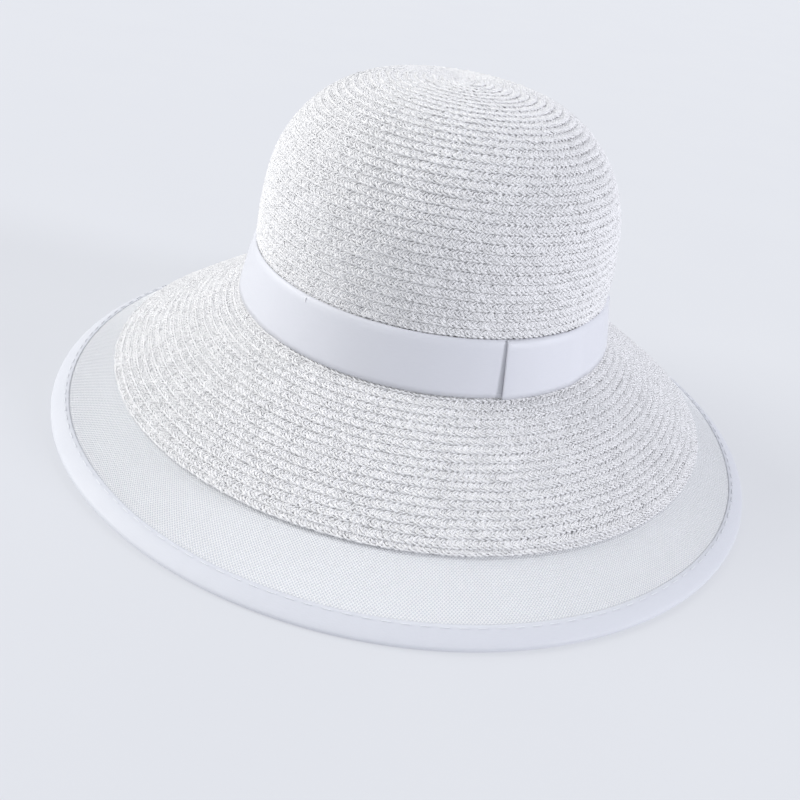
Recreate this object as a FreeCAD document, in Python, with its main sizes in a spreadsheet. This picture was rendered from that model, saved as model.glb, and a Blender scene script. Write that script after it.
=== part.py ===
"""A wide-brimmed sun hat: sewn braid crown and brim, sheer net outer brim on a wired ribbon edge.

The hat stands upright on its brim edge. Z is the crown's axis, the origin lies in the plane that
the rim rests on, -Y is the front and +Y the back. Lengths are in millimetres. Every piece is a
solid of revolution or a ring of stitches, so each sketch is a half section: x is the distance
from the crown's axis and y is the height.
"""

import FreeCAD, Part
import math
import os
import Sketcher

V = FreeCAD.Vector

# ---------------------------------------------------------------------------------------------
# Driving dimensions
# ---------------------------------------------------------------------------------------------

DIMENSIONS = {
    # crown
    "crown_height": 181.0,
    "crown_radius": 91.75,
    "crown_wall_height": 95.0,
    "crown_top_arc": 260.0,
    "crown_shoulder_arc": 64.0,
    "crown_side_arc": 170.0,
    "headline_height": 82.0,
    "braid_thickness": 1.8,
    # brim, whose net lies on one gentle arc from the brim's root to the wire
    "brim_root_radius": 98.0,
    "brim_root_height": 61.6,
    "brim_bow_radius": 1000.0,
    "flare_radius": 20.0,
    "straw_edge_radius": 159.5,
    "layer_gap": 0.05,
    # net ring and the tape under its seam
    "net_thickness": 0.6,
    "net_inner_radius": 150.5,
    "net_outer_radius": 187.1,
    "tape_thickness": 0.5,
    "tape_inner_radius": 148.5,
    "tape_outer_radius": 159.0,
    # wired edge
    "wire_ring_radius": 188.3,
    "wire_height": 1.7,
    "wire_radius": 0.8,
    "wire_gap_angle": 0.15,
    "ferrule_wall": 0.3,
    "ferrule_clearance": 0.02,
    "ferrule_angle": 3.7,
    "binding_roll_radius": 1.7,
    "binding_thickness": 0.45,
    "binding_width": 9.2,
    # hat band
    "band_top_height": 91.4,
    "band_top_radius": 92.6,
    "band_bottom_height": 65.2,
    "band_bottom_radius": 98.4,
    "band_thickness": 0.6,
    "lap_thickness": 0.9,
    "lap_position": 295.0,
    "lap_angle": 22.0,
    # sweatband
    "sweatband_radius": 89.0,
    "sweatband_thickness": 0.6,
    "sweatband_bottom_height": 76.0,
    "sweatband_top_height": 102.0,
    "sweatband_hem_radius": 90.7,
    "sweatband_hem_height": 70.5,
    # sewing thread
    "thread_radius": 0.22,
    "thread_lift": 0.25,
    "edge_stitch_inset": 1.6,
    "stitch_length": 4.0,
    "edge_stitches": 144.0,
    "seam_stitches": 120.0,
    "headline_stitches": 80.0,
    "sweatband_stitches": 72.0,
    "ring_tacks": 5.0,
    "tack_spacing": 60.0,
    "tack_length": 2.0,
}


def brim_centre(dims):
    """The centre of the arc through the brim's root and the wire, below and behind the brim."""
    start = V(dims["brim_root_radius"], dims["brim_root_height"], 0)
    end = V(dims["wire_ring_radius"], dims["wire_height"], 0)
    chord = end - start
    reach = math.sqrt(dims["brim_bow_radius"] ** 2 - (chord.Length / 2) ** 2)
    down = V(chord.y, -chord.x, 0).normalize()
    return (start + end) / 2 + down * reach


CENTRE = brim_centre(DIMENSIONS)
WIRE_ARM = V(DIMENSIONS["wire_ring_radius"], DIMENSIONS["wire_height"], 0) - CENTRE
# worked out from the dimensions above, so that the sketches can use them
DIMENSIONS["brim_centre_behind"] = -CENTRE.x
DIMENSIONS["brim_centre_below"] = -CENTRE.y
DIMENSIONS["rim_slope"] = math.degrees(math.atan2(WIRE_ARM.x, WIRE_ARM.y))


def size(name):
    """A driving dimension as a number, for the first guess at a sketch's geometry."""
    return DIMENSIONS[name]


# ---------------------------------------------------------------------------------------------
# Document, sheet and small helpers
# ---------------------------------------------------------------------------------------------

doc = FreeCAD.newDocument("sun_hat")
sheet = doc.addObject("Spreadsheet::Sheet", "Sizes")
for row, (alias, value) in enumerate(DIMENSIONS.items(), start=1):
    sheet.set(f"A{row}", alias)
    sheet.set(f"B{row}", repr(value))
    sheet.setAlias(f"B{row}", alias)
doc.recompute()

START = 1
END = 2
MIDDLE = 3
ORIGIN = (-1, 1)
subparts = []


def new_body(label):
    """An empty body for one sub-part; stitches may be several solids in one body."""
    body = doc.addObject("PartDesign::Body", label)
    body.Label = label
    body.AllowCompound = True
    subparts.append(body)
    return body


def origin_feature(body, role):
    """One of the body's own origin planes or axes."""
    return next(item for item in body.Origin.OriginFeatures if item.Role == role)


class HalfSection:
    """A closed sketch in a plane through the Z axis: x is the radius, y the height."""

    def __init__(self, body, name, turn=None):
        self.sketch = body.newObject("Sketcher::SketchObject", name)
        self.sketch.AttachmentSupport = [(origin_feature(body, "XZ_Plane"), "")]
        self.sketch.MapMode = "FlatFace"
        if turn:
            offset = FreeCAD.Placement(V(0, 0, 0), FreeCAD.Rotation(V(0, 1, 0), 1))
            self.sketch.AttachmentOffset = offset
            self.sketch.setExpression("AttachmentOffset.Rotation.Angle", turn)

    def line(self, start, end):
        """A straight edge between two (radius, height) points."""
        return self.sketch.addGeometry(Part.LineSegment(V(*start, 0), V(*end, 0)), False)

    def arc(self, centre, radius, first, last):
        """An anticlockwise arc between two angles in degrees."""
        circle = Part.Circle(V(*centre, 0), V(0, 0, 1), radius)
        arc = Part.ArcOfCircle(circle, math.radians(first), math.radians(last))
        return self.sketch.addGeometry(arc, False)

    def circle(self, centre, radius):
        """A full circle."""
        return self.sketch.addGeometry(Part.Circle(V(*centre, 0), V(0, 0, 1), radius), False)

    def rule(self, *terms):
        """A geometric constraint, such as Coincident or Tangent."""
        return self.sketch.addConstraint(Sketcher.Constraint(*terms))

    def bind(self, expression, *terms):
        """A dimension whose value is an expression of the sheet's cells."""
        index = self.rule(*terms)
        name = f"size_{index}"
        self.sketch.renameConstraint(index, name)
        self.sketch.setExpression(f"Constraints.{name}", expression)

    def chain(self, joints):
        """Joins edges end to end; each joint is (edge, point, next edge, point)."""
        for joint in joints:
            self.rule("Coincident", *joint)

    def place(self, edge, point, radius, height):
        """Puts a point at a radius and a height, each an expression."""
        now = self.sketch.getPoint(edge, point)
        self.bind(radius, "DistanceX", *ORIGIN, edge, point, now.x)
        self.bind(height, "DistanceY", *ORIGIN, edge, point, now.y)

    def check(self):
        """Stops the build if the sketch can still move."""
        if self.sketch.solve() != 0 or not self.sketch.FullyConstrained:
            raise RuntimeError(f"sketch {self.sketch.Name} isn't fully constrained")


def revolve(body, section, angle=None, midplane=False):
    """Turns a half section round the Z axis, all the way or by an angle expression."""
    feature = body.newObject("PartDesign::Revolution", f"{body.Name}_turned")
    feature.Profile = section.sketch
    feature.ReferenceAxis = (section.sketch, ["V_Axis"])
    feature.Angle = 360
    feature.Midplane = midplane
    if angle:
        feature.setExpression("Angle", angle)
    return feature


def repeat_round(body, feature, count):
    """Repeats a feature round the Z axis, count times in a full turn."""
    pattern = body.newObject("PartDesign::PolarPattern", f"{body.Name}_round")
    pattern.Originals = [feature]
    pattern.Axis = (origin_feature(body, "Z_Axis"), [""])
    pattern.Angle = 360
    pattern.setExpression("Occurrences", count)
    body.Tip = pattern
    doc.recompute()
    return pattern


# ---------------------------------------------------------------------------------------------
# Shared half sections
# ---------------------------------------------------------------------------------------------


def quad_section(body, name, corners, turn=None):
    """A four-sided half section; corners are (radius, height, radius expr, height expr)."""
    section = HalfSection(body, name, turn)
    points = [corner[:2] for corner in corners]
    edges = [section.line(points[i], points[(i + 1) % 4]) for i in range(4)]
    section.chain((edges[i], END, edges[(i + 1) % 4], START) for i in range(4))
    for edge, corner in zip(edges, corners):
        section.place(edge, START, *corner[2:])
    section.check()
    return section


def brim_point(offset, radius):
    """The height of a brim layer, offset from the net's middle, at a distance from the axis."""
    layer = size("brim_bow_radius") + offset
    return CENTRE.y + math.sqrt(layer**2 - (radius - CENTRE.x) ** 2)


def brim_angle(radius, height):
    """The direction of a point seen from the brim arc's centre, in degrees."""
    return math.degrees(math.atan2(height - CENTRE.y, radius - CENTRE.x))


def centre_on_brim(section, arc):
    """Puts an arc's centre at the centre of the brim's own arc."""
    section.bind("Sizes.brim_centre_behind", "DistanceX", arc, MIDDLE, *ORIGIN, -CENTRE.x)
    section.bind("Sizes.brim_centre_below", "DistanceY", arc, MIDDLE, *ORIGIN, -CENTRE.y)


def brim_strip(body, name, low, high, inner, outer):
    """A curved strip that follows the brim between two offsets and two radii.

    low and high are (number, expression) offsets from the net's middle; inner and outer name
    the sheet cells for the strip's inner and outer radius.
    """
    section = HalfSection(body, name)
    centre = (CENTRE.x, CENTRE.y)
    ends = [brim_angle(size(cell), brim_point(0, size(cell))) for cell in (outer, inner)]
    arcs = [section.arc(centre, size("brim_bow_radius") + side[0], *ends) for side in (low, high)]
    lower, upper = arcs
    points = {
        key: section.sketch.getPoint(*key) for arc in arcs for key in ((arc, START), (arc, END))
    }
    outer_end = section.line(points[lower, START][:2], points[upper, START][:2])
    inner_end = section.line(points[upper, END][:2], points[lower, END][:2])
    section.chain(
        [
            (outer_end, START, lower, START),
            (outer_end, END, upper, START),
            (inner_end, START, upper, END),
            (inner_end, END, lower, END),
        ]
    )
    centre_on_brim(section, lower)
    section.rule("Coincident", upper, MIDDLE, lower, MIDDLE)
    for arc, side in zip(arcs, (low, high)):
        start_radius = size("brim_bow_radius") + side[0]
        section.bind(f"Sizes.brim_bow_radius + {side[1]}", "Radius", arc, start_radius)
    for end, arc_end, cell in ((outer_end, START, outer), (inner_end, END, inner)):
        section.rule("PointOnObject", lower, MIDDLE, end)
        at = section.sketch.getPoint(upper, arc_end).x
        section.bind(f"Sizes.{cell}", "DistanceX", *ORIGIN, upper, arc_end, at)
    section.check()
    return section


def running_stitches(label, centre, radius_rule, height_rule, count, turn=None):
    """A ring of short stitches of round thread that run along the seam."""
    body = new_body(label)
    section = HalfSection(body, f"{label}_thread", turn)
    thread = section.circle(centre, size("thread_radius"))
    section.place(thread, MIDDLE, radius_rule, height_rule)
    section.bind("Sizes.thread_radius", "Radius", thread, size("thread_radius"))
    section.check()
    arc = f"Sizes.stitch_length / ({radius_rule}) * 180 / pi"
    stitch = revolve(body, section, arc, midplane=True)
    doc.recompute()
    repeat_round(body, stitch, count)
    return body


# Offsets of the brim's layers from the net's middle, as a number and as an expression.
NET_HALF = (size("net_thickness") / 2, "Sizes.net_thickness / 2")
NET_UNDER = (-NET_HALF[0], "(-Sizes.net_thickness / 2)")
BRAID_LOW = (NET_HALF[0] + size("layer_gap"), "Sizes.net_thickness / 2 + Sizes.layer_gap")
BRAID_HIGH = (BRAID_LOW[0] + size("braid_thickness"), f"{BRAID_LOW[1]} + Sizes.braid_thickness")
TAPE_HIGH = (-BRAID_LOW[0], "(-Sizes.net_thickness / 2 - Sizes.layer_gap)")
TAPE_LOW = (
    TAPE_HIGH[0] - size("tape_thickness"),
    "(-Sizes.net_thickness / 2 - Sizes.layer_gap - Sizes.tape_thickness)",
)


# ---------------------------------------------------------------------------------------------
# Braid
# ---------------------------------------------------------------------------------------------


def dome_section(body, name, inset, inset_rule):
    """Three tangent arcs over a straight wall, closed along the axis and inset from the outside."""
    section = HalfSection(body, name)
    top_arc = size("crown_top_arc") - inset
    shoulder_arc = size("crown_shoulder_arc") - inset
    side_arc = size("crown_side_arc") - inset
    height = size("crown_height") - inset
    radius = size("crown_radius") - inset
    wall = size("crown_wall_height")
    base = size("headline_height")
    # first guesses at where the top gives way to the shoulder and the shoulder to the side
    top_end = 82.4
    shoulder_end = 11.2

    top_centre = V(0, height - top_arc, 0)
    shoulder_way = V(math.cos(math.radians(top_end)), math.sin(math.radians(top_end)), 0)
    shoulder_centre = top_centre + shoulder_way * (top_arc - shoulder_arc)
    top = section.arc(top_centre[:2], top_arc, top_end, 90)
    shoulder = section.arc(shoulder_centre[:2], shoulder_arc, shoulder_end, top_end)
    side = section.arc((radius - side_arc, wall), side_arc, 0, shoulder_end)
    wall_line = section.line((radius, wall), (radius, base))
    base_line = section.line((radius, base), (0, base))
    axis_line = section.line((0, base), (0, height))

    section.rule("Tangent", top, START, shoulder, END)
    section.rule("Tangent", shoulder, START, side, END)
    section.rule("Tangent", side, START, wall_line, START)
    section.chain(
        [
            (wall_line, END, base_line, START),
            (base_line, END, axis_line, START),
            (axis_line, END, top, END),
        ]
    )
    section.rule("Vertical", wall_line)
    section.rule("Horizontal", base_line)
    section.rule("PointOnObject", top, MIDDLE, -2)
    section.rule("PointOnObject", axis_line, START, -2)
    section.rule("PointOnObject", axis_line, END, -2)
    section.bind(f"Sizes.crown_top_arc{inset_rule}", "Radius", top, top_arc)
    section.bind(f"Sizes.crown_shoulder_arc{inset_rule}", "Radius", shoulder, shoulder_arc)
    section.bind(f"Sizes.crown_side_arc{inset_rule}", "Radius", side, side_arc)
    section.bind(f"Sizes.crown_height{inset_rule}", "DistanceY", *ORIGIN, top, END, height)
    section.place(side, START, f"Sizes.crown_radius{inset_rule}", "Sizes.crown_wall_height")
    section.bind("Sizes.headline_height", "DistanceY", *ORIGIN, base_line, END, base)
    section.check()
    return section


def make_crown_braid():
    """The crown: a dome over a straight wall, hollowed from below to the braid's thickness."""
    body = new_body("crown_braid")
    dome = revolve(body, dome_section(body, "crown_outline", 0.0, ""))
    doc.recompute()
    hollow = dome_section(
        body, "crown_inside", size("braid_thickness"), " - Sizes.braid_thickness"
    )
    groove = body.newObject("PartDesign::Groove", "crown_hollow")
    groove.Profile = hollow.sketch
    groove.ReferenceAxis = (hollow.sketch, ["V_Axis"])
    groove.Angle = 360
    doc.recompute()
    if groove.Shape.Volume > dome.Shape.Volume / 2:
        raise RuntimeError("the crown wasn't hollowed")
    return body


def make_brim_braid():
    """The straw brim: a short collar at the head line, a flare and a nearly straight slope."""
    body = new_body("brim_braid")
    section = HalfSection(body, "brim_outline")
    radius = size("crown_radius")
    thickness = size("braid_thickness")
    base = size("headline_height")
    flare = size("flare_radius")
    edge = size("straw_edge_radius")
    centre = (CENTRE.x, CENTRE.y)

    # the flare's centre is a flare radius from the collar and from the brim's upper face
    flare_x = radius + flare
    reach = size("brim_bow_radius") + BRAID_HIGH[0] + flare
    flare_y = CENTRE.y + math.sqrt(reach**2 - (flare_x - CENTRE.x) ** 2)
    flare_centre = (flare_x, flare_y)
    root_way = brim_angle(flare_x, flare_y)
    edge_way = brim_angle(edge, brim_point(BRAID_HIGH[0], edge))

    collar_out = section.line((radius, base), (radius, flare_y))
    flare_out = section.arc(flare_centre, flare, 180, 180 + root_way)
    upper = section.arc(centre, size("brim_bow_radius") + BRAID_HIGH[0], edge_way, root_way)
    upper_end = section.sketch.getPoint(upper, START)
    lower = section.arc(centre, size("brim_bow_radius") + BRAID_LOW[0], edge_way, root_way)
    lower_end = section.sketch.getPoint(lower, START)
    edge_line = section.line(upper_end[:2], lower_end[:2])
    flare_in = section.arc(flare_centre, flare + thickness, 180, 180 + root_way)
    collar_in = section.line((radius - thickness, flare_y), (radius - thickness, base))
    top_line = section.line((radius - thickness, base), (radius, base))

    section.rule("Tangent", collar_out, END, flare_out, START)
    section.rule("Tangent", flare_out, END, upper, END)
    section.rule("Tangent", flare_in, START, collar_in, START)
    section.rule("Tangent", flare_in, END, lower, END)
    section.chain(
        [
            (upper, START, edge_line, START),
            (edge_line, END, lower, START),
            (collar_in, END, top_line, START),
            (top_line, END, collar_out, START),
        ]
    )
    section.rule("Vertical", collar_out)
    section.rule("Vertical", collar_in)
    section.rule("Horizontal", top_line)
    section.place(collar_out, START, "Sizes.crown_radius", "Sizes.headline_height")
    section.bind("Sizes.braid_thickness", "DistanceX", top_line, START, top_line, END, thickness)
    section.bind("Sizes.flare_radius", "Radius", flare_out, flare)
    section.bind(
        "Sizes.flare_radius + Sizes.braid_thickness", "Radius", flare_in, flare + thickness
    )
    centre_on_brim(section, upper)
    section.rule("Coincident", lower, MIDDLE, upper, MIDDLE)
    for arc, side in ((upper, BRAID_HIGH), (lower, BRAID_LOW)):
        start_radius = size("brim_bow_radius") + side[0]
        section.bind(f"Sizes.brim_bow_radius + {side[1]}", "Radius", arc, start_radius)
    section.rule("PointOnObject", upper, MIDDLE, edge_line)
    section.bind("Sizes.straw_edge_radius", "DistanceX", *ORIGIN, upper, START, edge)
    section.check()
    revolve(body, section)
    return body


def make_headline_stitching():
    """Upright stitches that cross the line where crown and brim meet, under the band."""
    body = new_body("headline_stitching")
    inner = size("crown_radius")
    outer = inner + 2 * size("thread_radius")
    middle = size("headline_height")
    half = size("stitch_length") / 2
    inner_rule = "Sizes.crown_radius"
    outer_rule = "Sizes.crown_radius + 2 * Sizes.thread_radius"
    low_rule = "Sizes.headline_height - Sizes.stitch_length / 2"
    high_rule = "Sizes.headline_height + Sizes.stitch_length / 2"
    corners = [
        (inner, middle - half, inner_rule, low_rule),
        (outer, middle - half, outer_rule, low_rule),
        (outer, middle + half, outer_rule, high_rule),
        (inner, middle + half, inner_rule, high_rule),
    ]
    section = quad_section(body, "headline_thread", corners)
    width = "2 * Sizes.thread_radius / Sizes.crown_radius * 180 / pi"
    stitch = revolve(body, section, width, midplane=True)
    doc.recompute()
    repeat_round(body, stitch, "Sizes.headline_stitches")
    return body


# ---------------------------------------------------------------------------------------------
# Net ring and its seam
# ---------------------------------------------------------------------------------------------


def make_net_brim():
    """The sheer ring from under the braid's last turns to the wire."""
    body = new_body("net_brim")
    cells = ("net_inner_radius", "net_outer_radius")
    revolve(body, brim_strip(body, "net_outline", NET_UNDER, NET_HALF, *cells))
    return body


def make_net_seam_tape():
    """The tape under the lapped seam of braid and net."""
    body = new_body("net_seam_tape")
    cells = ("tape_inner_radius", "tape_outer_radius")
    revolve(body, brim_strip(body, "tape_outline", TAPE_LOW, TAPE_HIGH, *cells))
    return body


def make_net_seam_stitching():
    """Running stitches along the middle of the tape's underside."""
    radius = (size("tape_inner_radius") + size("tape_outer_radius")) / 2
    slope = math.atan2(radius - CENTRE.x, brim_point(0, radius) - CENTRE.y)
    depth = (TAPE_LOW[0] - size("thread_lift")) / math.cos(slope)
    height = brim_point(0, radius) + depth
    radius_rule = "(Sizes.tape_inner_radius + Sizes.tape_outer_radius) / 2"
    below = f"Sizes.brim_bow_radius + {TAPE_LOW[1]} - Sizes.thread_lift"
    across = f"({radius_rule} + Sizes.brim_centre_behind)"
    height_rule = f"sqrt(({below})^2 - {across}^2) - Sizes.brim_centre_below"
    return running_stitches(
        "net_seam_stitching", (radius, height), radius_rule, height_rule, "Sizes.seam_stitches"
    )


# ---------------------------------------------------------------------------------------------
# Wired edge
# ---------------------------------------------------------------------------------------------


def make_edge_wire():
    """The spring wire hoop, open by a hair at the back, where the ferrule joins its ends."""
    body = new_body("edge_wire")
    section = HalfSection(body, "wire_section", "90 + Sizes.wire_gap_angle / 2")
    wire = section.circle((size("wire_ring_radius"), size("wire_height")), size("wire_radius"))
    section.place(wire, MIDDLE, "Sizes.wire_ring_radius", "Sizes.wire_height")
    section.bind("Sizes.wire_radius", "Radius", wire, size("wire_radius"))
    section.check()
    revolve(body, section, "360 - Sizes.wire_gap_angle")
    return body


def make_wire_ferrule():
    """The crimped sleeve over the wire's two ends."""
    body = new_body("wire_ferrule")
    section = HalfSection(body, "ferrule_section", "90")
    centre = (size("wire_ring_radius"), size("wire_height"))
    bore = size("wire_radius") + size("ferrule_clearance")
    inner = section.circle(centre, bore)
    outer = section.circle(centre, bore + size("ferrule_wall"))
    section.place(inner, MIDDLE, "Sizes.wire_ring_radius", "Sizes.wire_height")
    section.rule("Coincident", outer, MIDDLE, inner, MIDDLE)
    bore_rule = "Sizes.wire_radius + Sizes.ferrule_clearance"
    section.bind(bore_rule, "Radius", inner, bore)
    outer_rule = f"{bore_rule} + Sizes.ferrule_wall"
    section.bind(outer_rule, "Radius", outer, bore + size("ferrule_wall"))
    section.check()
    revolve(body, section, "Sizes.ferrule_angle", midplane=True)
    return body


def make_edge_binding():
    """Ribbon folded round the wire, its two edges flat on the top and bottom of the net."""
    body = new_body("edge_binding")
    section = HalfSection(body, "binding_outline")
    roll = size("binding_roll_radius")
    thickness = size("binding_thickness")
    wire = V(size("wire_ring_radius"), size("wire_height"), 0)
    slope = math.radians(size("rim_slope"))
    inward = V(-math.cos(slope), math.sin(slope), 0)
    upward = V(math.sin(slope), math.cos(slope), 0)
    hem = wire + inward * size("binding_width")
    near = NET_HALF[0] + size("layer_gap")
    far = near + thickness
    # first guess at where the flat sides leave the roll: square to the brim
    upper_way = math.degrees(math.atan2(upward.y, upward.x))
    lower_way = upper_way - 180

    middle = section.line(wire[:2], hem[:2])
    section.sketch.toggleConstruction(middle)
    outer = section.arc(wire[:2], roll, lower_way, upper_way)
    inner = section.arc(wire[:2], roll - thickness, lower_way, upper_way)
    outer_top = section.line((wire + upward * roll)[:2], (hem + upward * far)[:2])
    cap_top = section.line((hem + upward * far)[:2], (hem + upward * near)[:2])
    inner_top = section.line((hem + upward * near)[:2], (wire + upward * (roll - thickness))[:2])
    inner_low = section.line((wire - upward * (roll - thickness))[:2], (hem - upward * near)[:2])
    cap_low = section.line((hem - upward * near)[:2], (hem - upward * far)[:2])
    outer_low = section.line((hem - upward * far)[:2], (wire - upward * roll)[:2])

    section.place(middle, START, "Sizes.wire_ring_radius", "Sizes.wire_height")
    section.bind("Sizes.binding_width", "Distance", middle, size("binding_width"))
    section.bind("180 - Sizes.rim_slope", "Angle", middle, math.pi - slope)
    section.rule("Coincident", outer, MIDDLE, middle, START)
    section.rule("Coincident", inner, MIDDLE, middle, START)
    section.bind("Sizes.binding_roll_radius", "Radius", outer, roll)
    inner_rule = "Sizes.binding_roll_radius - Sizes.binding_thickness"
    section.bind(inner_rule, "Radius", inner, roll - thickness)
    section.rule("Tangent", outer, END, outer_top, START)
    section.rule("Tangent", inner, END, inner_top, END)
    section.rule("Tangent", inner, START, inner_low, START)
    section.rule("Tangent", outer, START, outer_low, END)
    section.chain(
        [
            (outer_top, END, cap_top, START),
            (cap_top, END, inner_top, START),
            (inner_low, END, cap_low, START),
            (cap_low, END, outer_low, START),
        ]
    )
    near_rule = "Sizes.net_thickness / 2 + Sizes.layer_gap"
    for cap, near_end, far_end in ((cap_top, END, START), (cap_low, START, END)):
        section.rule("Perpendicular", cap, middle)
        section.rule("PointOnObject", middle, END, cap)
        section.bind(near_rule, "Distance", cap, near_end, middle, near)
        section.bind(f"{near_rule} + Sizes.binding_thickness", "Distance", cap, far_end, middle, far)
    section.check()
    revolve(body, section)
    return body


def make_binding_stitching():
    """Running stitches on the binding's upper side, close to its inner edge."""
    # from the hem to the stitches, the ribbon's face climbs towards the roll round the wire
    inset = size("edge_stitch_inset")
    hem_face = NET_HALF[0] + size("layer_gap") + size("binding_thickness")
    climb = (size("binding_roll_radius") - hem_face) / size("binding_width") * inset
    along = size("binding_width") - inset
    rise = hem_face + climb + size("thread_lift")
    slope = math.radians(size("rim_slope"))
    radius = size("wire_ring_radius") - along * math.cos(slope) + rise * math.sin(slope)
    height = size("wire_height") + along * math.sin(slope) + rise * math.cos(slope)
    hem_rule = "(Sizes.net_thickness / 2 + Sizes.layer_gap + Sizes.binding_thickness)"
    climb_rule = (
        f"(Sizes.binding_roll_radius - {hem_rule}) / Sizes.binding_width"
        " * Sizes.edge_stitch_inset"
    )
    along_rule = "(Sizes.binding_width - Sizes.edge_stitch_inset)"
    rise_rule = f"({hem_rule} + {climb_rule} + Sizes.thread_lift)"
    radius_rule = (
        f"Sizes.wire_ring_radius - {along_rule} * cos(Sizes.rim_slope * 1 deg)"
        f" + {rise_rule} * sin(Sizes.rim_slope * 1 deg)"
    )
    height_rule = (
        f"Sizes.wire_height + {along_rule} * sin(Sizes.rim_slope * 1 deg)"
        f" + {rise_rule} * cos(Sizes.rim_slope * 1 deg)"
    )
    return running_stitches(
        "binding_stitching", (radius, height), radius_rule, height_rule, "Sizes.edge_stitches"
    )


# ---------------------------------------------------------------------------------------------
# Hat band and sweatband
# ---------------------------------------------------------------------------------------------


def band_corners(inside, outside):
    """Corners of the sloping band between two (number, expression) distances from its face."""
    corners = []
    for end, face in (("bottom", inside), ("bottom", outside), ("top", outside), ("top", inside)):
        radius = size(f"band_{end}_radius") + face[0]
        radius_rule = f"Sizes.band_{end}_radius + {face[1]}"
        height_rule = f"Sizes.band_{end}_height"
        corners.append((radius, size(f"band_{end}_height"), radius_rule, height_rule))
    return corners


def make_hat_band():
    """The ribbon round the crown, with its end folded under and lapped over its start."""
    body = new_body("hat_band")
    back = (-size("band_thickness"), "(-Sizes.band_thickness)")
    face = (0.0, "0")
    proud = (size("lap_thickness"), "Sizes.lap_thickness")
    ring = quad_section(body, "band_section", band_corners(back, face))
    revolve(body, ring)
    doc.recompute()
    lap = quad_section(body, "lap_section", band_corners(back, proud), "Sizes.lap_position")
    revolve(body, lap, "Sizes.lap_angle")
    return body


def tack_section(body, name, proud, proud_rule, turn):
    """A small upright tack on the band's leaning face, close to the band's upper edge."""
    lean = (size("band_bottom_radius") - size("band_top_radius")) / (
        size("band_top_height") - size("band_bottom_height")
    )
    lean_rule = (
        "(Sizes.band_bottom_radius - Sizes.band_top_radius)"
        " / (Sizes.band_top_height - Sizes.band_bottom_height)"
    )
    corners = []
    for lengths_down, diameters_out in ((1.5, 0), (1.5, 1), (0.5, 1), (0.5, 0)):
        down = lengths_down * size("tack_length")
        out = proud + diameters_out * 2 * size("thread_radius")
        down_rule = f"{lengths_down} * Sizes.tack_length"
        out_rule = f"{proud_rule} + {diameters_out} * 2 * Sizes.thread_radius"
        corners.append(
            (
                size("band_top_radius") + lean * down + out,
                size("band_top_height") - down,
                f"Sizes.band_top_radius + {lean_rule} * {down_rule} + {out_rule}",
                f"Sizes.band_top_height - {down_rule}",
            )
        )
    return quad_section(body, name, corners, turn)


def make_band_tacks():
    """Small tacks that hold the band: five round the crown and one on the lapped end."""
    body = new_body("band_tacks")
    width = "2 * Sizes.thread_radius / Sizes.band_top_radius * 180 / pi"
    first = "Sizes.lap_position + Sizes.tack_spacing"
    ring_section = tack_section(body, "ring_tack", 0.0, "0", first)
    ring_tack = revolve(body, ring_section, width, midplane=True)
    doc.recompute()
    pattern = repeat_round(body, ring_tack, "Sizes.ring_tacks")
    pattern.setExpression("Angle", "Sizes.tack_spacing * (Sizes.ring_tacks - 1)")
    doc.recompute()
    edge = "Sizes.lap_position + 1"
    lap_section = tack_section(
        body, "lap_tack", size("lap_thickness"), "Sizes.lap_thickness", edge
    )
    body.Tip = revolve(body, lap_section, width, midplane=True)
    return body


def make_sweatband():
    """A ribbon cylinder that is the head opening, with a hem that flares on to the braid."""
    body = new_body("sweatband")
    section = HalfSection(body, "sweatband_section")
    thickness = size("sweatband_thickness")
    inner = size("sweatband_radius")
    top = size("sweatband_top_height")
    bend = size("sweatband_bottom_height")
    hem = (size("sweatband_hem_radius"), size("sweatband_hem_height"))
    points = [
        (inner, top),
        (inner, bend),
        hem,
        (hem[0] + thickness, hem[1]),
        (inner + thickness, bend),
        (inner + thickness, top),
    ]
    count = len(points)
    edges = [section.line(points[i], points[(i + 1) % count]) for i in range(count)]
    section.chain((edges[i], END, edges[(i + 1) % count], START) for i in range(count))
    thick = "Sizes.sweatband_thickness"
    rules = [
        ("Sizes.sweatband_radius", "Sizes.sweatband_top_height"),
        ("Sizes.sweatband_radius", "Sizes.sweatband_bottom_height"),
        ("Sizes.sweatband_hem_radius", "Sizes.sweatband_hem_height"),
        (f"Sizes.sweatband_hem_radius + {thick}", "Sizes.sweatband_hem_height"),
        (f"Sizes.sweatband_radius + {thick}", "Sizes.sweatband_bottom_height"),
        (f"Sizes.sweatband_radius + {thick}", "Sizes.sweatband_top_height"),
    ]
    for edge, rule in zip(edges, rules):
        section.place(edge, START, *rule)
    section.check()
    revolve(body, section)
    return body


def make_sweatband_stitching():
    """Running stitches on the inside of the sweatband's flared hem, clear of the head opening."""
    along = 0.55
    radius = size("sweatband_radius") * (1 - along) + size("sweatband_hem_radius") * along
    height = size("sweatband_bottom_height") * (1 - along) + size("sweatband_hem_height") * along
    radius_rule = (
        f"Sizes.sweatband_radius * {1 - along} + Sizes.sweatband_hem_radius * {along}"
        " - Sizes.thread_radius"
    )
    height_rule = (
        f"Sizes.sweatband_bottom_height * {1 - along} + Sizes.sweatband_hem_height * {along}"
        " - Sizes.thread_radius"
    )
    centre = (radius - size("thread_radius"), height - size("thread_radius"))
    return running_stitches(
        "sweatband_stitching", centre, radius_rule, height_rule, "Sizes.sweatband_stitches"
    )


# ---------------------------------------------------------------------------------------------
# Build, check and write
# ---------------------------------------------------------------------------------------------

MAKERS = [
    make_crown_braid,
    make_brim_braid,
    make_headline_stitching,
    make_net_brim,
    make_net_seam_tape,
    make_net_seam_stitching,
    make_edge_wire,
    make_wire_ferrule,
    make_edge_binding,
    make_binding_stitching,
    make_hat_band,
    make_band_tacks,
    make_sweatband,
    make_sweatband_stitching,
]
for make in MAKERS:
    make()
doc.recompute()

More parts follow.
